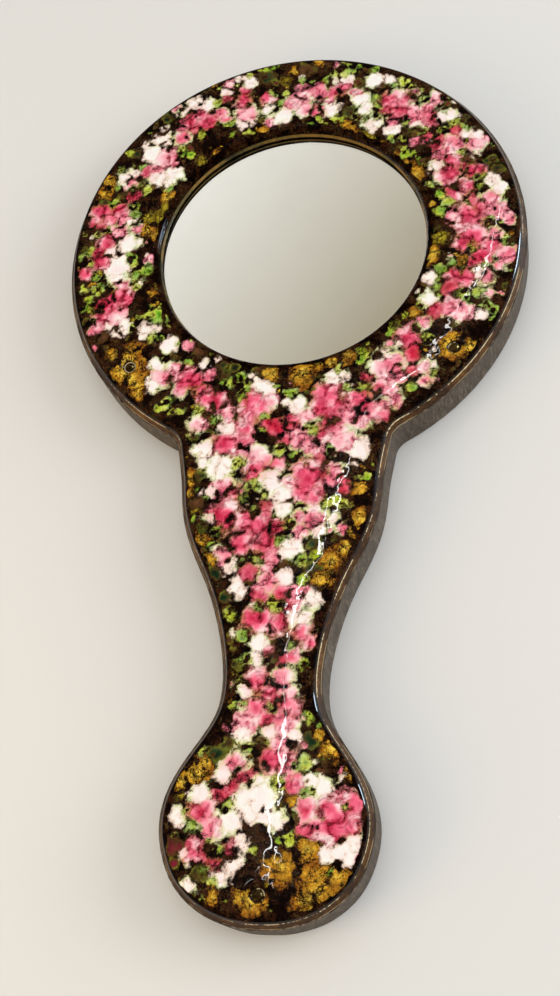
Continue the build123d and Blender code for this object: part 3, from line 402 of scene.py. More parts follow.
# ------------------------------------------------------------------ coat mesh
def build_coat():
    step = 0.42
    base, norm = base_outline(step)
    n_out = len(base)
    verts, d_list = [], []

    def push(pts, z, d):
        start = sum(len(v) for v in verts)
        verts.append(np.column_stack([pts, np.broadcast_to(z, len(pts))]))
        d_list.append(np.broadcast_to(d, len(pts)).astype(float))
        return np.arange(start, start + len(pts))

    def ring_pts(cx, cy, r, n):
        a = np.arange(n) / n * 2 * math.pi
        return np.stack([cx + r * np.cos(a), cy + r * np.sin(a)], 1)

    quads, tris = [], []

    def bridge(a, b, flip):
        a2, b2 = np.roll(a, -1), np.roll(b, -1)
        q = np.stack([a, a2, b2, b], 1) if not flip else np.stack([a, b, b2, a2], 1)
        quads.append(q)

    outer_s = [0.62, 0.55, 0.44, 0.31, 0.20, 0.06, -0.10, -0.28, -0.5, -0.78, -1.1, -1.5, -1.95, -2.45, -2.95]
    outer_loops = [push(base + norm * s, 0.0, -s) for s in outer_s]
    mouth_r = [-0.25, -0.16, -0.05, 0.06, 0.18, 0.34, 0.52, 0.75, 1.05, 1.4, 1.8, 2.25, 2.7]
    n_in = 600
    inner_loops = [push(ring_pts(0, 0, MOUTH_R + d, n_in), 0.0, 9.0) for d in mouth_r]
    spot_r = [1.70, 1.76, 1.86, 2.02, 2.25, 2.55, 2.9]
    spot_loops = [[push(ring_pts(px, py, r, 34), 0.0, 9.0) for r in spot_r] for px, py in PINS]
    n_top_loops = sum(len(v) for v in verts)

    # square grid in the middle
    gx = np.arange(-66, 66, step)
    gy = np.arange(-188, 66, step)
    X, Y = np.meshgrid(gx, gy)
    fx, fy = X.ravel(), Y.ravel()
    side = base[(base[:, 0] >= 0) & (base[:, 1] < -57)]
    side = side[np.argsort(side[:, 1])]
    width = np.interp(fy, side[:, 1], side[:, 0], left=-1.0, right=0.0)
    inside = (np.hypot(fx, fy) < RING_R) | ((fy < -57) & (np.abs(fx) < width))
    near = np.full(len(fx), np.inf)
    cand = np.where(inside)[0]
    for chunk in np.array_split(cand, max(1, len(cand) // 4000)):
        dx = fx[chunk, None] - base[None, :, 0]
        dy = fy[chunk, None] - base[None, :, 1]
        near[chunk] = np.sqrt((dx * dx + dy * dy).min(1))
    ok = inside & (near > 3.25) & (np.hypot(fx, fy) > MOUTH_R + 3.0)
    for px, py in PINS:
        ok &= np.hypot(fx - px, fy - py) > 3.2
    ok = ok.reshape(X.shape)
    cell = ok[:-1, :-1] & ok[1:, :-1] & ok[:-1, 1:] & ok[1:, 1:]
    used = np.zeros_like(ok)
    used[:-1, :-1] |= cell
    used[1:, :-1] |= cell
    used[:-1, 1:] |= cell
    used[1:, 1:] |= cell
    sel = np.where(used.ravel())[0]
    gid = np.full(X.size, -1)
    ids = push(np.stack([fx[sel], fy[sel]], 1), 0.0, near[sel])
    gid[sel] = ids
    gid = gid.reshape(X.shape)
    cy_, cx_ = np.where(cell)
    quads.append(np.stack([gid[cy_, cx_], gid[cy_, cx_ + 1], gid[cy_ + 1, cx_ + 1], gid[cy_ + 1, cx_]], 1))
    # border edges of the grid: cell sides with no cell beyond
    pad = np.pad(cell, 1)
    edges = []
    for ax, (sy, sx) in enumerate(((-1, 0), (1, 0), (0, -1), (0, 1))):
        free = cell & ~pad[1 + sy:pad.shape[0] - 1 + sy, 1 + sx:pad.shape[1] - 1 + sx]
        yy, xx = np.where(free)
        if ax == 0:
            e = np.stack([gid[yy, xx], gid[yy, xx + 1]], 1)
        elif ax == 1:
            e = np.stack([gid[yy + 1, xx], gid[yy + 1, xx + 1]], 1)
        elif ax == 2:
            e = np.stack([gid[yy, xx], gid[yy + 1, xx]], 1)
        else:
            e = np.stack([gid[yy, xx + 1], gid[yy + 1, xx + 1]], 1)
        edges.append(e)
    edges = np.vstack(edges)

    def all_verts():
        return np.vstack(verts)

    def fill(loops, extra_edges, keep):
        """Triangles between closed loops and loose border edges."""
        ids_ = list(np.concatenate(loops)) + sorted(set(extra_edges.ravel().tolist()) if len(extra_edges) else [])
        ids_ = list(dict.fromkeys(int(i) for i in ids_))
        back = {g: k for k, g in enumerate(ids_)}
        v = all_verts()
        co = [Vector((float(v[i, 0]), float(v[i, 1]))) for i in ids_]
        es = []
        for lp in loops:
            es += [(back[int(a)], back[int(b)]) for a, b in zip(lp, np.roll(lp, -1))]
        es += [(back[int(a)], back[int(b)]) for a, b in extra_edges]
        res = delaunay_2d_cdt(co, es, [], 0, 1e-7)
        nco, nfaces, orig = res[0], res[2], res[3]
        if len(nco) != len(co):
            print("cdt changed the point count", len(co), len(nco))
        f = np.array([list(t_) for t_ in nfaces])
        xy = np.array([(p.x, p.y) for p in nco])
        mid = xy[f].mean(1)
        f = f[keep(mid)]
        src = np.array([ids_[o[0]] if o else -1 for o in orig])
        f = src[f]
        return f[(f >= 0).all(1)]

    def keep_top(mid):
        r = np.hypot(mid[:, 0], mid[:, 1])
        jx = np.floor((mid[:, 0] - gx[0]) / step).astype(int).clip(0, cell.shape[1] - 1)
        jy = np.floor((mid[:, 1] - gy[0]) / step).astype(int).clip(0, cell.shape[0] - 1)
        good = ~cell[jy, jx] & (r > MOUTH_R + 2.7 - 0.004)
        for px, py in PINS:
            good &= np.hypot(mid[:, 0] - px, mid[:, 1] - py) > 2.89
        d = np.empty(len(mid))
        for chunk in np.array_split(np.arange(len(mid)), max(1, len(mid) // 3000)):
            dx = mid[chunk, 0, None] - base[None, :, 0]
            dy = mid[chunk, 1, None] - base[None, :, 1]
            d[chunk] = np.sqrt((dx * dx + dy * dy).min(1))
        w = np.interp(mid[:, 1], side[:, 1], side[:, 0], left=-1.0, right=0.0)
        inn = (r < RING_R) | ((mid[:, 1] < -57) & (np.abs(mid[:, 0]) < w))
        return good & inn & (d > 2.93)

    top_fill = fill([outer_loops[-1], inner_loops[-1]] + [sl[-1] for sl in spot_loops], edges, keep_top)
    tris.append(top_fill)
    for a, b in zip(outer_loops[:-1], outer_loops[1:]):
        bridge(a, b, True)
    for a, b in zip(inner_loops[:-1], inner_loops[1:]):
        bridge(a, b, True)
    for sl in spot_loops:
        for a, b in zip(sl[:-1], sl[1:]):
            bridge(a, b, True)

    n_top = sum(len(v) for v in verts)
    xy = all_verts()[:, :2]
    d_out = np.concatenate(d_list)
    x, y = xy[:, 0], xy[:, 1]
    far = np.hypot(x, y) - MOUTH_R
    # loops around the opening and the pins still need their distance to the outline
    need = np.where(d_out == 9.0)[0]
    for chunk in np.array_split(need, max(1, len(need) // 3000)):
        dx = x[chunk, None] - base[None, :, 0]
        dy = y[chunk, None] - base[None, :, 1]
        d_out[chunk] = np.sqrt((dx * dx + dy * dy).min(1))
    col, fringe, amber, depth = paint(x, y, d_out)
    z = coat_height(x, y, d_out)
    # fired glass is never flat: broad swells everywhere, small pebbling on the dark and amber ground
    calm = sstep(-0.1, 1.6, np.minimum(d_out, far))
    dark = 1 - sstep(-0.2, 0.5, depth)
    swell = 0.040 * (fbm(x, y, 13.0, 201, 2) - 0.5) + 0.015 * (fbm(x, y, 5.0, 211, 2) - 0.5)
    rough = sstep(0.3, 0.8, fbm(x, y, 9.0, 231, 2) * 0.6 + 0.5 * np.clip(amber + dark, 0, 1))
    pebble = (0.012 + 0.022 * sstep(0.2, 0.8, fbm(amber * 2 + x, y, 4.0, 241, 1) * amber)) * (fbm(x, y, 3.0, 221, 1) - 0.5) * rough
    z = z + calm * (swell + pebble)

    # underside, so that the coat is a closed skin resting on the copper
    under = []
    under_s = [(0.61, 12.965), (0.28, 13.37), (-0.9, 13.757)]
    low = [push(base + norm * s, zz, -s) for s, zz in under_s]
    low_in = [push(ring_pts(0, 0, r, n_in), zz, 9.0) for r, zz in ((38.68, 12.20), (39.01, 12.70), (39.35, 13.45), (40.1, 13.757))]
    low_spot = [push(ring_pts(px, py, 1.70, 34), 13.757, 9.0) for px, py in PINS]
    for a, b in zip(low[:-1], low[1:]):
        bridge(a, b, False)
    for a, b in zip(low_in[:-1], low_in[1:]):
        bridge(a, b, False)
    bridge(outer_loops[0], low[0], False)
    bridge(inner_loops[0], low_in[0], False)
    for sl, ls in zip(spot_loops, low_spot):
        bridge(sl[0], ls, False)

    def keep_low(mid):
        r = np.hypot(mid[:, 0], mid[:, 1])
        w = np.interp(mid[:, 1], side[:, 1], side[:, 0], left=-1.0, right=0.0)
        inn = ((r < RING_R - 0.9) | ((mid[:, 1] < -55) & (np.abs(mid[:, 0]) < w))) & (r > 40.09)
        for px, py in PINS:
            inn &= np.hypot(mid[:, 0] - px, mid[:, 1] - py) > 1.69
        d = np.empty(len(mid))
        for chunk in np.array_split(np.arange(len(mid)), max(1, len(mid) // 3000)):
            dx = mid[chunk, 0, None] - base[None, :, 0]
            dy = mid[chunk, 1, None] - base[None, :, 1]
            d[chunk] = np.sqrt((dx * dx + dy * dy).min(1))
        return inn & (d > 0.88)

    f_low = fill([low[-1], low_in[-1]] + low_spot, np.zeros((0, 2), int), keep_low)
    tris.append(f_low[:, ::-1])

    co = all_verts()
    co[:n_top, 2] = z
    co *= MM
    allq = np.vstack(quads)
    allt = np.vstack(tris)
    mesh = bpy.data.meshes.new("enamel_coat")
    nv, nq, nt = len(co), len(allq), len(allt)
    mesh.vertices.add(nv)
    mesh.vertices.foreach_set("co", co.ravel())
    mesh.loops.add(nq * 4 + nt * 3)
    mesh.loops.foreach_set("vertex_index", np.concatenate([allq.ravel(), allt.ravel()]).astype(np.int32))
    mesh.polygons.add(nq + nt)
    starts = np.concatenate([np.arange(nq) * 4, nq * 4 + np.arange(nt) * 3]).astype(np.int32)
    mesh.polygons.foreach_set("loop_start", starts)
    mesh.polygons.foreach_set("use_smooth", np.ones(nq + nt, bool))
    mesh.update(calc_edges=True)
    mesh.validate()
    full = np.zeros((nv, 4), np.float32)
    full[:, 3] = 1
    full[:n_top, :3] = col
    a = mesh.attributes.new("bloom", "FLOAT_COLOR", "POINT")
    a.data.foreach_set("color", full.ravel())
    rim = np.zeros((nv, 4), np.float32)
    rim[:, 3] = 1
    rim[:n_top, :3] = fringe
    a = mesh.attributes.new("fringe", "FLOAT_COLOR", "POINT")
    a.data.foreach_set("color", rim.ravel())
    for label, field, rest in (("amber", amber, 0.0), ("depth", depth, -0.9)):
        v = np.full(nv, rest, np.float32)
        v[:n_top] = field
        a = mesh.attributes.new(label, "FLOAT", "POINT")
        a.data.foreach_set("value", v)
    obj = bpy.data.objects.new("enamel_coat", mesh)
    bpy.context.scene.collection.objects.link(obj)
    print("coat", nv, "verts", nq, "quads", nt, "tris")
    return obj


# ------------------------------------------------------------------ node helpers
class Graph:
    def __init__(self, name):
        self.mat = bpy.data.materials.new(name)
        self.mat.use_nodes = True
        self.t = self.mat.node_tree
        self.t.nodes.clear()
        self.out = self.t.nodes.new("ShaderNodeOutputMaterial")

    def node(self, kind, **vals):
        n = self.t.nodes.new(kind)
        for k, v in vals.items():
            if hasattr(n, k) and k not in n.inputs:
                setattr(n, k, v)
            else:
                self.set(n, k, v)
        return n

    def set(self, n, key, v):
        sock = n.inputs[key]
        if isinstance(v, bpy.types.NodeSocket):
            self.t.links.new(v, sock)
        else:
            sock.default_value = v

    def math(self, op, a, b=0.0, c=0.0, clamp=False):
        n = self.t.nodes.new("ShaderNodeMath")
        n.operation = op
        n.use_clamp = clamp
        for i, v in enumerate((a, b, c)):
            self.set(n, i, v)
        return n.outputs[0]

    def remap(self, v, a, b, lo=0.0, hi=1.0, smooth=True):
        n = self.t.nodes.new("ShaderNodeMapRange")
        n.interpolation_type = "SMOOTHSTEP" if smooth else "LINEAR"
        self.set(n, 0, v)
        for i, q in ((1, a), (2, b), (3, lo), (4, hi)):
            self.set(n, i, q)
        return n.outputs[0]

    def mix(self, f, a, b, mode="MIX"):
        n = self.t.nodes.new("ShaderNodeMix")
        n.data_type = "RGBA"
        n.blend_type = mode
        self.set(n, 0, f)
        self.set(n, 6, a if isinstance(a, bpy.types.NodeSocket) else (*a, 1) if len(a) == 3 else a)
        self.set(n, 7, b if isinstance(b, bpy.types.NodeSocket) else (*b, 1) if len(b) == 3 else b)
        return n.outputs[2]

    def coords(self):
        return self.t.nodes.new("ShaderNodeTexCoord").outputs["Object"]

    def mapped(self, vec, scale, rot=(0, 0, 0), loc=(0, 0, 0)):
        n = self.t.nodes.new("ShaderNodeMapping")
        self.set(n, "Vector", vec)
        n.inputs["Scale"].default_value = scale
        n.inputs["Rotation"].default_value = rot
        n.inputs["Location"].default_value = loc
        return n.outputs[0]

    def noise(self, vec, scale, detail=3.0, rough=0.55, dist=0.0):
        n = self.t.nodes.new("ShaderNodeTexNoise")
        self.set(n, "Vector", vec)
        for k, v in (("Scale", scale), ("Detail", detail), ("Roughness", rough), ("Distortion", dist)):
            self.set(n, k, v)
        return n.outputs

    def voronoi(self, vec, scale, feature="F1", rand=1.0):
        n = self.t.nodes.new("ShaderNodeTexVoronoi")
        n.feature = feature
        self.set(n, "Vector", vec)
        self.set(n, "Scale", scale)
        self.set(n, "Randomness", rand)
        return n.outputs

    def ramp(self, f, stops):
        n = self.t.nodes.new("ShaderNodeValToRGB")
        el = n.color_ramp.elements
        while len(el) < len(stops):
            el.new(0.5)
        for e, (p, c) in zip(el, stops):
            e.position = p
            e.color = (*c, 1)
        self.set(n, 0, f)
        return n.outputs[0]

    def bump(self, height, dist, strength=1.0, normal=None):
        n = self.t.nodes.new("ShaderNodeBump")
        self.set(n, "Height", height)
        n.inputs["Distance"].default_value = dist
        n.inputs["Strength"].default_value = strength
        if normal is not None:
            self.set(n, "Normal", normal)
        return n.outputs[0]

    def principled(self, **vals):
        n = self.t.nodes.new("ShaderNodeBsdfPrincipled")
        for k, v in vals.items():
            self.set(n, k.replace("_", " "), v if isinstance(v, (bpy.types.NodeSocket, float, int)) else ((*v, 1) if len(v) == 3 else v))
        self.t.links.new(n.outputs[0], self.out.inputs[0])
        return n


def lin(r, g, b):
    return tuple(float(v) for v in to_linear((r, g, b)))


# ------------------------------------------------------------------ materials
def mat_enamel():
    g = Graph("fired_enamel")
    co = g.coords()
    base = g.node("ShaderNodeAttribute", attribute_name="bloom").outputs["Color"]
    fringe = g.node("ShaderNodeAttribute", attribute_name="fringe").outputs["Color"]
    amber = g.node("ShaderNodeAttribute", attribute_name="amber").outputs["Fac"]
    depth = g.node("ShaderNodeAttribute", attribute_name="depth").outputs["Fac"]
    n_mid = g.noise(co, 900, 3, 0.6)[0]
    n_fine = g.noise(co, 2600, 2, 0.5)[0]
    n_big = g.noise(co, 260, 3, 0.55)[0]
    m = g.math("SUBTRACT", n_mid, 0.5)
    f = g.math("SUBTRACT", n_fine, 0.5)
    # petals: faint veining in the glass
    streak = g.noise(g.mapped(co, (1, 0.35, 1), (0, 0, 0.5)), 1500, 3, 0.6, 0.6)[0]
    tone = g.math("ADD", 1.0, g.math("ADD", g.math("MULTIPLY", g.math("SUBTRACT", streak, 0.5), 0.20), g.math("MULTIPLY", f, 0.12)))
    grey = g.node("ShaderNodeCombineColor")
    for i in range(3):
        g.set(grey, i, tone)
    col = g.mix(1.0, base, grey.outputs[0], "MULTIPLY")
    e = g.math("ADD", depth, g.math("ADD", g.math("MULTIPLY", m, 0.62), g.math("MULTIPLY", f, 0.46)))
    twig = g.math("ABSOLUTE", g.math("SUBTRACT", g.noise(co, 700, 4, 0.65, 0.6)[0], 0.5))
    twig = g.math("MULTIPLY", g.remap(twig, 0.0, 0.038, 1.0, 0.0), g.remap(e, 0.5, 2.1, 1.0, 0.0))
    e = g.math("SUBTRACT", e, g.math("MULTIPLY", twig, 0.66))
    band = g.remap(e, 0.36, 1.45, 1.0, 0.0)
    col = g.mix(g.math("MULTIPLY", band, 0.80), col, fringe)
    # amber: clear brown glass over copper, pebbled, with dark branching cracks
    warp = g.node("ShaderNodeVectorMath", operation="ADD")
    jig = g.node("ShaderNodeVectorMath", operation="SCALE")
    g.set(jig, 0, g.noise(co, 600, 3, 0.6)[1])
    jig.inputs["Scale"].default_value = 0.0046
    g.set(warp, 0, co)
    g.set(warp, 1, jig.outputs[0])
    cells = g.voronoi(warp.outputs[0], 360, "DISTANCE_TO_EDGE")[0]
    cells2 = g.voronoi(warp.outputs[0], 1300, "DISTANCE_TO_EDGE")[0]
    n_gap = g.noise(co, 330, 2, 0.5)[0]
    cr = g.remap(g.math("ADD", cells, g.math("MULTIPLY", m, -0.35)), 0.0, 0.13, 1.0, 0.0)
    cr = g.math("MULTIPLY", cr, g.remap(n_gap, 0.34, 0.54, 0.35, 1.0))
    vein = g.math("ABSOLUTE", g.math("SUBTRACT", g.noise(co, 620, 5, 0.7, 0.8)[0], 0.5))
    cr = g.math("MAXIMUM", cr, g.math("MULTIPLY", g.remap(vein, 0.0, 0.022, 1.0, 0.0), 0.8))
    cr2 = g.math("MULTIPLY", g.remap(cells2, 0.0, 0.12, 1.0, 0.0), g.remap(n_big, 0.40, 0.6))
    cr = g.math("MAXIMUM", cr, g.math("MULTIPLY", cr2, 0.7))
    gold = g.ramp(g.math("ADD", g.math("MULTIPLY", n_fine, 0.45), g.math("MULTIPLY", n_mid, 0.55)), [(0.36, (0.34, 0.22, 0.10)), (0.46, (0.80, 0.68, 0.50)), (0.54, (1.0, 0.98, 0.88)), (0.66, (1.0, 1.0, 1.0))])
    gold = g.mix(1.0, base, gold, "MULTIPLY")
    gold = g.mix(cr, gold, (0.010, 0.005, 0.003))
    amask = g.remap(g.math("ADD", amber, g.math("MULTIPLY", m, 0.7)), 0.35, 0.65)
    col = g.mix(amask, col, gold)
    # ground: near-black glass with brown and green clouds
    dark = g.ramp(n_big, [(0.36, (0.0010, 0.0004, 0.0003)), (0.52, (0.0040, 0.0012, 0.0007)), (0.63, (0.022, 0.007, 0.003)), (0.74, (0.008, 0.016, 0.005))])
    root = g.math("ABSOLUTE", g.math("SUBTRACT", g.noise(co, 430, 5, 0.68, 0.8)[0], 0.5))
    root = g.math("MULTIPLY", g.remap(root, 0.004, 0.050, 1.0, 0.0), g.remap(n_big, 0.38, 0.58, 0.15, 0.85))
    dark = g.mix(g.math("MULTIPLY", root, 0.60), dark, (0.074, 0.020, 0.006))
    speck = g.math("MULTIPLY", g.remap(g.math("ADD", n_fine, g.math("MULTIPLY", m, 0.5)), 0.58, 0.74), g.remap(n_big, 0.42, 0.58))
    dark = g.mix(g.math("MULTIPLY", speck, 0.55), dark, lin(104, 100, 52))
    col = g.mix(g.remap(e, -0.16, 0.62, 1.0, 0.0), col, dark)
    rad = g.node("ShaderNodeVectorMath", operation="LENGTH")
    flat = g.node("ShaderNodeVectorMath", operation="MULTIPLY")
    g.set(flat, 0, co)
    flat.inputs[1].default_value = (1, 1, 0)
    g.set(rad, 0, flat.outputs[0])
    p = g.principled(Base_Color=col, Roughness=g.remap(n_mid, 0.3, 0.7, 0.10, 0.20), IOR=1.5, Specular_IOR_Level=0.06, Coat_Weight=g.remap(rad.outputs["Value"], 0.0416, 0.0436, 0.02, 0.40), Coat_Roughness=0.006, Coat_IOR=1.5)
    h = g.math("MULTIPLY", g.math("MINIMUM", cells, 0.25), amask)
    g.set(p, "Normal", g.bump(h, 0.00010, 0.5))
    return g.mat


def mat_copper():
    g = Graph("darkened_copper")
    co = g.coords()
    sep = g.node("ShaderNodeSeparateXYZ")
    g.set(sep, 0, co)
    z = sep.outputs[2]
    n1 = g.noise(co, 110, 4, 0.6)[0]
    n2 = g.noise(g.mapped(co, (1, 1, 5), (0.2, 0.1, 0)), 700, 4, 0.6)[0]
    n3 = g.noise(co, 1500, 3, 0.6)[0]
    base = g.ramp(g.math("ADD", g.math("MULTIPLY", n1, 0.45), g.math("MULTIPLY", n2, 0.55)), [(0.32, lin(26, 15, 8)), (0.45, lin(56, 35, 18)), (0.55, lin(90, 58, 26)), (0.68, lin(150, 104, 44))])
    # the turned-in wall around the opening keeps an olive and gold heat tint
    rad = g.node("ShaderNodeVectorMath", operation="LENGTH")
    flat = g.node("ShaderNodeVectorMath", operation="MULTIPLY")
    g.set(flat, 0, co)
    flat.inputs[1].default_value = (1, 1, 0)
    g.set(rad, 0, flat.outputs[0])
    tint = g.ramp(n1, [(0.34, lin(60, 56, 34)), (0.46, lin(122, 104, 52)), (0.56, lin(164, 122, 56)), (0.68, lin(96, 92, 50))])
    base = g.mix(g.remap(rad.outputs["Value"], 0.0420, 0.0425, 0.85, 0.0), base, tint)
    # raw metal rubbed bright where the glass stops, and here and there at the foot
    up = g.remap(g.math("ADD", z, g.math("MULTIPLY", g.math("SUBTRACT", n3, 0.5), 0.0007)), 0.01250, 0.01272)
    foot = g.math("MULTIPLY", g.remap(z, 0.01104, 0.01122, 1.0, 0.0), g.remap(n1, 0.46, 0.56))
    rub = g.math("MAXIMUM", g.math("MULTIPLY", up, g.remap(g.math("ADD", n1, g.math("MULTIPLY", g.math("SUBTRACT", n3, 0.5), 0.4)), 0.46, 0.52)), g.math("MULTIPLY", foot, 0.6))
    base = g.mix(g.math("MULTIPLY", rub, 0.95), base, lin(246, 222, 172))
    p = g.principled(Base_Color=base, Metallic=0.0, Specular_IOR_Level=0.22, Roughness=g.remap(n2, 0.3, 0.7, 0.34, 0.55))
    g.set(p, "Normal", g.bump(n2, 0.00014, 0.8))
    return g.mat


def mat_board():
    g = Graph("stained_board")
    co = g.coords()
    geo = g.node("ShaderNodeNewGeometry")
    sep = g.node("ShaderNodeSeparateXYZ")
    g.set(sep, 0, geo.outputs["True Normal"])
    flat = g.remap(g.math("ABSOLUTE", sep.outputs[2]), 0.5, 0.9)
    # edge of the board: fine close strokes running up and slightly across
    strokes = g.noise(g.mapped(co, (1, 1, 0.16), (0.55, 0.45, 0)), 1500, 3, 0.6)[0]
    strokes2 = g.noise(g.mapped(co, (1, 1, 0.22), (-0.5, 0.5, 0)), 800, 3, 0.6)[0]
    grain = g.noise(g.mapped(co, (1, 0.045, 1)), 900, 4, 0.62, 0.4)[0]
    cloud = g.noise(co, 45, 4, 0.6)[0]
    strokes3 = g.noise(g.mapped(co, (1, 1, 0.5), (0.9, -0.7, 0)), 2600, 2, 0.6)[0]
    cut = g.math("ADD", g.math("MULTIPLY", strokes, 0.40), g.math("ADD", g.math("MULTIPLY", strokes2, 0.30), g.math("MULTIPLY", strokes3, 0.30)))
    cut = g.mix(flat, cut, grain)
    col = g.ramp(cut, [(0.34, lin(40, 32, 25)), (0.45, lin(76, 65, 53)), (0.54, lin(106, 94, 80)), (0.64, lin(142, 128, 112))])
    col = g.mix(g.remap(cloud, 0.35, 0.65, 0.0, 0.45), col, lin(74, 62, 50))
    p = g.principled(Base_Color=col, Roughness=g.remap(cut, 0.3, 0.7, 0.55, 0.8), Specular_IOR_Level=0.3)
    g.set(p, "Normal", g.bump(cut, 0.00018, 0.7))
    return g.mat


def mat_pin():
    g = Graph("tarnished_brass")
    co = g.coords()
    n1 = g.noise(co, 700, 3, 0.6)[0]
    n2 = g.noise(co, 3200, 2, 0.5)[0]
    base = g.ramp(n1, [(0.32, lin(58, 44, 24)), (0.5, lin(112, 90, 48)), (0.66, lin(168, 146, 88))])
    p = g.principled(Base_Color=base, Metallic=0.95, Roughness=g.remap(n2, 0.3, 0.7, 0.22, 0.42))
    g.set(p, "Normal", g.bump(n2, 0.00004, 0.5))
    return g.mat


def mat_glass():
    g = Graph("mirror_sheet_glass")
    co = g.coords()
    dust = g.remap(g.voronoi(co, 95)[0], 0.0, 0.018, 1.0, 0.0)
    haze = g.noise(co, 60, 3, 0.6)[0]
    glass = g.node("ShaderNodeBsdfGlass")
    glass.inputs["Color"].default_value = (0.985, 0.995, 0.985, 1)
    glass.inputs["IOR"].default_value = 1.5
    g.set(glass, "Roughness", 0.0)
    rough = g.node("ShaderNodeBsdfDiffuse")
    rough.inputs["Color"].default_value = (*lin(150, 148, 140), 1)
    mix = g.node("ShaderNodeMixShader")
    g.set(mix, 0, g.math("ADD", g.math("MULTIPLY", dust, 0.6), g.remap(haze, 0.4, 0.8, 0.0, 0.012)))
    g.set(mix, 1, glass.outputs[0])
    g.set(mix, 2, rough.outputs[0])
    g.t.links.new(mix.outputs[0], g.out.inputs[0])
    return g.mat


def mat_silver():
    g = Graph("silvering")
    co = g.coords()
    n = g.noise(co, 30, 3, 0.5)[0]
    base = g.mix(g.remap(n, 0.3, 0.7), (0.93, 0.935, 0.92), (0.955, 0.955, 0.945))
    g.principled(Base_Color=base, Metallic=1.0, Roughness=g.remap(n, 0.3, 0.7, 0.004, 0.012))
    return g.mat


def mat_fibre(name, a, b, scale):
    g = Graph(name)
    co = g.coords()
    n1 = g.noise(g.mapped(co, (1, 0.3, 1)), scale, 4, 0.65)[0]
    n2 = g.noise(co, scale * 3.2, 2, 0.5)[0]
    col = g.mix(g.remap(n1, 0.3, 0.7), a, b)
    p = g.principled(Base_Color=col, Roughness=g.remap(n2, 0.3, 0.7, 0.75, 0.95))
    g.set(p, "Normal", g.bump(n2, 0.0001, 0.6))
    return g.mat


def mat_counter():
    g = Graph("underside_enamel")
    co = g.coords()
    n1 = g.noise(co, 420, 4, 0.6)[0]
    n2 = g.noise(co, 1800, 2, 0.5)[0]
    col = g.ramp(n1, [(0.35, (0.006, 0.005, 0.005)), (0.55, (0.02, 0.014, 0.01)), (0.7, (0.05, 0.05, 0.045))])
    p = g.principled(Base_Color=col, Roughness=g.remap(n2, 0.3, 0.7, 0.1, 0.3), Coat_Weight=0.4, Coat_Roughness=0.04)
    g.set(p, "Normal", g.bump(n1, 0.00012, 0.5))
    return g.mat


def assign(obj, mat):
    if not obj.data.materials:
        obj.data.materials.append(mat)
    for i in range(len(obj.data.materials)):
        obj.data.materials[i] = mat
    for s in obj.material_slots:
        s.material = mat


# ------------------------------------------------------------------ object
coat = build_coat()
assign(coat, mat_enamel())
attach(coat, "root")
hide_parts("front_enamel")


def build_glass():
    """Sheet glass disc with a seamed edge, a hair above its silvering."""
    lo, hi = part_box("mirror_glass")
    r, z0, z1 = hi.x / MM, lo.z / MM + 0.03, hi.z / MM
    profile = [(0.0, z0)] + [(q, z0) for q in (12, 24, 36, r - 0.28)] + [(r - 0.07, z0 + 0.07), (r, z0 + 0.24), (r, z1 - 0.26), (r - 0.07, z1 - 0.08)]
    profile += [(q, z1) for q in (r - 0.28, 36, 24, 12)] + [(0.0, z1)]
    k = 240
    vs, fs, rows_ = [], [], []
    for q, z in profile:
        if q == 0.0:
            rows_.append([len(vs)] * k)
            vs.append((0, 0, z * MM))
        else:
            rows_.append(list(range(len(vs), len(vs) + k)))
            vs += [(q * MM * math.cos(2 * math.pi * i / k), q * MM * math.sin(2 * math.pi * i / k), z * MM) for i in range(k)]
    for a, b in zip(rows_[:-1], rows_[1:]):
        for i in range(k):
            j = (i + 1) % k
            f = [a[i], a[j], b[j], b[i]]
            f = [v for n_, v in enumerate(f) if v not in f[:n_]]
            fs.append(tuple(f))
    me = bpy.data.meshes.new("glass_disc")
    me.from_pydata(vs, [], fs)
    me.polygons.foreach_set("use_smooth", [len({round(vs[i][2], 7) for i in f}) > 1 for f in fs])
    me.update()
    ob = bpy.data.objects.new("glass_disc", me)
    bpy.context.scene.collection.objects.link(ob)
    return ob


glass = build_glass()
assign(glass, mat_glass())
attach(glass, "root")
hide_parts("mirror_glass")

assign(nodes["front_plate"], mat_copper())
assign(nodes["back_board"], mat_board())
assign(nodes["fixing_pins"], mat_pin())
assign(nodes["mirror_silvering"], mat_silver())
assign(nodes["packing_disc"], mat_fibre("grey_card", lin(150, 128, 98), lin(116, 98, 74), 900))
assign(nodes["filler_board"], mat_fibre("thin_ply", lin(176, 148, 110), lin(140, 112, 78), 300))
assign(nodes["counter_enamel"], mat_counter())

# ------------------------------------------------------------------ stage
low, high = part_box("back_board")


def floor_piece():
    n, size = 24, 3.0
    me = bpy.data.meshes.new("table_top")
    vs = [((i / n - 0.5) * size, (j / n - 0.5) * size, low.z - 0.00002) for j in range(n + 1) for i in range(n + 1)]
    fs = [(j * (n + 1) + i, j * (n + 1) + i + 1, (j + 1) * (n + 1) + i + 1, (j + 1) * (n + 1) + i) for j in range(n) for i in range(n)]
    me.from_pydata(vs, [], fs)
    ob = bpy.data.objects.new("table_top", me)
    bpy.context.scene.collection.objects.link(ob)
    g = Graph("pale_table")
    co = g.coords()
    n1 = g.noise(co, 2.2, 2, 0.5)[0]
    n2 = g.noise(co, 700, 3, 0.6)[0]
    col = g.mix(g.remap(n1, 0.35, 0.65), lin(226, 224, 219), lin(228, 226, 222))
    p = g.principled(Base_Color=col, Roughness=0.55, Specular_IOR_Level=0.15)
    g.set(p, "Normal", g.bump(n2, 0.00002, 0.25))
    assign(ob, g.mat)
    return ob


floor_piece()


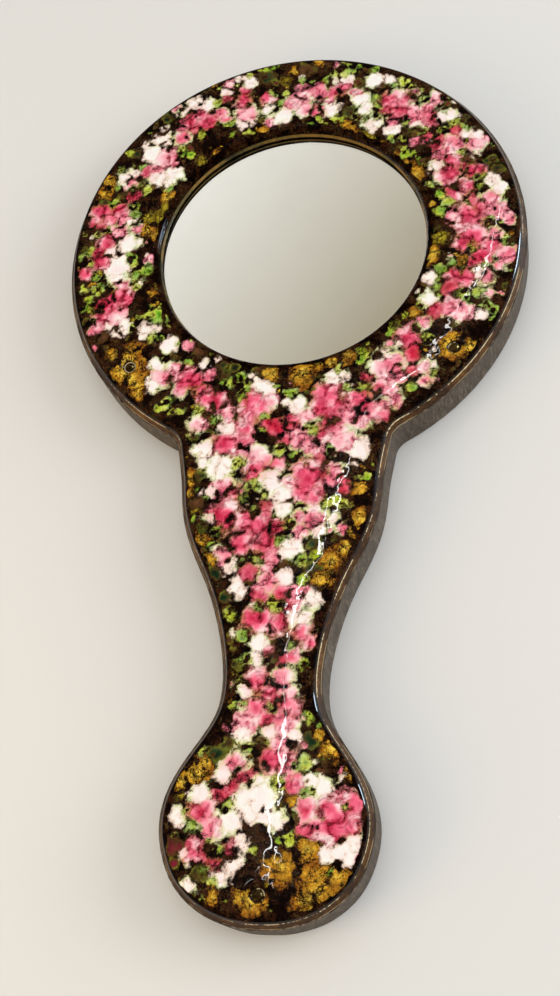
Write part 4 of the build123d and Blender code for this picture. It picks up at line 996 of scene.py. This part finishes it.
def area(name, loc, target, sx, sy, power, color, glossy=True, diffuse=True):
    d = bpy.data.lights.new(name, "AREA")
    d.shape = "RECTANGLE"
    d.size, d.size_y = sx, sy
    d.energy = power
    d.color = color
    o = bpy.data.objects.new(name, d)
    bpy.context.scene.collection.objects.link(o)
    o.location = loc
    o.rotation_euler = (Vector(target) - Vector(loc)).to_track_quat("-Z", "Y").to_euler()
    o.visible_glossy = glossy
    o.visible_transmission = glossy
    o.visible_diffuse = diffuse
    return o


centre = (0.0, -0.06, 0.0)
area("window", (1.05, 0.18, 0.55), centre, 0.9, 0.7, 7.3, (0.965, 0.985, 1.0), glossy=False)
area("overhead", (-0.15, 0.25, 1.6), centre, 1.4, 1.4, 4.3, (0.975, 0.985, 0.985), glossy=False)
area("lamp_glow", (-0.44, -0.34, 0.28), (-0.05, -0.10, 0.0), 0.3, 0.3, 0.95, (1.0, 0.68, 0.24), glossy=False)
area("pane", (0.92, 0.40, 0.33), (0.05, -0.05, 0.014), 0.24, 0.34, 14.0, (0.66, 0.84, 1.0), diffuse=False)


def ribbon(name, pts, width, strength, color):
    """A bright narrow slit overhead, seen only as a line in the glaze."""
    p = np.array(pts)
    me = bpy.data.meshes.new(name)
    vs, fs = [], []
    for i in range(len(p)):
        a, b = p[max(0, i - 1)], p[min(len(p) - 1, i + 1)]
        d = (b - a)[:2] / np.hypot(*(b - a)[:2])
        nrm = np.array([-d[1], d[0], 0]) * width / 2
        vs += [tuple(p[i] + nrm), tuple(p[i] - nrm)]
        if i:
            fs.append((2 * i - 2, 2 * i - 1, 2 * i + 1, 2 * i))
    me.from_pydata(vs, [], fs)
    ob = bpy.data.objects.new(name, me)
    bpy.context.scene.collection.objects.link(ob)
    g = Graph(name)
    e = g.node("ShaderNodeEmission")
    e.inputs["Color"].default_value = (*color, 1)
    n = g.noise(g.coords(), 3, 2, 0.5)[0]
    g.set(e, "Strength", g.math("MULTIPLY", g.remap(n, 0.2, 0.8, 0.8, 1.2), strength))
    g.t.links.new(e.outputs[0], g.out.inputs[0])
    assign(ob, g.mat)
    ob.visible_camera = False
    ob.visible_shadow = False
    ob.visible_diffuse = False
    return ob


ribbon("slit", [(0.05, 1.06, 1.5), (0.008, 0.974, 1.5), (-0.117, 0.753, 1.5), (-0.218, 0.634, 1.5), (-0.286, 0.378, 1.5), (-0.315, 0.106, 1.5), (-0.33, -0.05, 1.5)], 0.0032, 52.0, (1.0, 0.99, 0.96))

world = bpy.data.worlds.new("room")
bpy.context.scene.world = world
world.use_nodes = True
wt = world.node_tree
wt.nodes.clear()
wo = wt.nodes.new("ShaderNodeOutputWorld")
bg = wt.nodes.new("ShaderNodeBackground")
tc = wt.nodes.new("ShaderNodeTexCoord")
dot = wt.nodes.new("ShaderNodeVectorMath")
dot.operation = "DOT_PRODUCT"
dot.inputs[1].default_value = (-0.72, 0.50, -0.48)
wt.links.new(tc.outputs["Generated"], dot.inputs[0])
ramp = wt.nodes.new("ShaderNodeValToRGB")
mr = wt.nodes.new("ShaderNodeMapRange")
mr.inputs[1].default_value = -0.11
mr.inputs[2].default_value = 0.12
wt.links.new(dot.outputs["Value"], mr.inputs[0])
wt.links.new(mr.outputs[0], ramp.inputs[0])
ramp.color_ramp.elements[0].color = (0.346 / 1.08, 0.274 / 1.08, 0.168 / 1.08, 1)
ramp.color_ramp.elements[1].color = (1.061 / 1.08, 1.006 / 1.08, 0.976 / 1.08, 1)
path = wt.nodes.new("ShaderNodeLightPath")
even = wt.nodes.new("ShaderNodeMix")          # soft even fill for matt surfaces
even.data_type = "RGBA"
wt.links.new(path.outputs["Is Diffuse Ray"], even.inputs[0])
wt.links.new(ramp.outputs[0], even.inputs[6])
even.inputs[7].default_value = (0.56, 0.57, 0.58, 1)
calm = wt.nodes.new("ShaderNodeMix")          # a dimmer room in the polished glass
calm.data_type = "RGBA"
shine = wt.nodes.new("ShaderNodeMath")
shine.operation = "SUBTRACT"
shine.use_clamp = True
wt.links.new(path.outputs["Is Glossy Ray"], shine.inputs[0])
wt.links.new(path.outputs["Is Transmission Ray"], shine.inputs[1])
wt.links.new(shine.outputs[0], calm.inputs[0])
wt.links.new(even.outputs[2], calm.inputs[6])
calm.inputs[7].default_value = (0.075, 0.055, 0.045, 1)
wt.links.new(calm.outputs[2], bg.inputs[0])
bg.inputs[1].default_value = 1.08
wt.links.new(bg.outputs[0], wo.inputs[0])

# ------------------------------------------------------------------ camera
cam_data = bpy.data.cameras.new("camera")
cam_data.sensor_fit = "AUTO"
cam_data.sensor_width = 36.0
cam_data.lens = 1350.175 * 36.0 / 996.0
cam_data.clip_start = 0.01
cam = bpy.data.objects.new("camera", cam_data)
bpy.context.scene.collection.objects.link(cam)
R = np.array([[0.97907254, 0.04300263, -0.1989164], [-0.03759449, -0.92238174, -0.3844458], [-0.20000904, 0.38387849, -0.90146197]])
m = Matrix.Identity(4)
for i in range(3):
    m[i][0] = float(R[0, i])
    m[i][1] = float(-R[1, i])
    m[i][2] = float(-R[2, i])
m[0][3], m[1][3], m[2][3] = 0.0711216, -0.2145778, 0.3326224
cam.matrix_world = m
bpy.context.scene.camera = cam
bpy.context.scene.view_settings.view_transform = "Standard"
bpy.context.scene.view_settings.look = "None"

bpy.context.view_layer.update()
